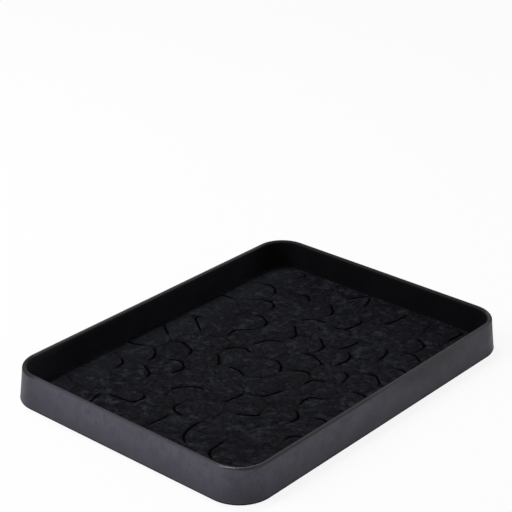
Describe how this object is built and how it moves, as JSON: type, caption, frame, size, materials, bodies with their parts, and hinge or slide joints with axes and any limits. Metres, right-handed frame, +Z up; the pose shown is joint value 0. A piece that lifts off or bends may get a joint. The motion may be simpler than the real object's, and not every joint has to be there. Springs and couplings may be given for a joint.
{
  "type": "shoe tray",
  "caption": "Shallow one-piece rubber tray with a raised rounded rim and a river-stone relief floor, which holds wet or muddy boots and catches what drips off them.",
  "frame": {"origin": "centre of the flat underside, on the surface that the tray stands on", "axes": "+Z up, +Y along the long side towards the back wall, +X across the short side towards the right wall"},
  "size_m": [0.381, 0.508, 0.0445],
  "materials": {
    "floor": "matt black rubber with a mottled grain that looks like wet stone",
    "wall": "smooth satin charcoal rubber, duller on the rim and darker near the foot"
  },
  "bodies": {
    "root": {"floor_plate": "floor", "floor_stones": "floor", "front_wall": "wall", "back_wall": "wall", "left_wall": "wall", "right_wall": "wall", "front_left_corner": "wall", "front_right_corner": "wall", "back_left_corner": "wall", "back_right_corner": "wall", "rim": "wall"}
  },
  "joints": []
}
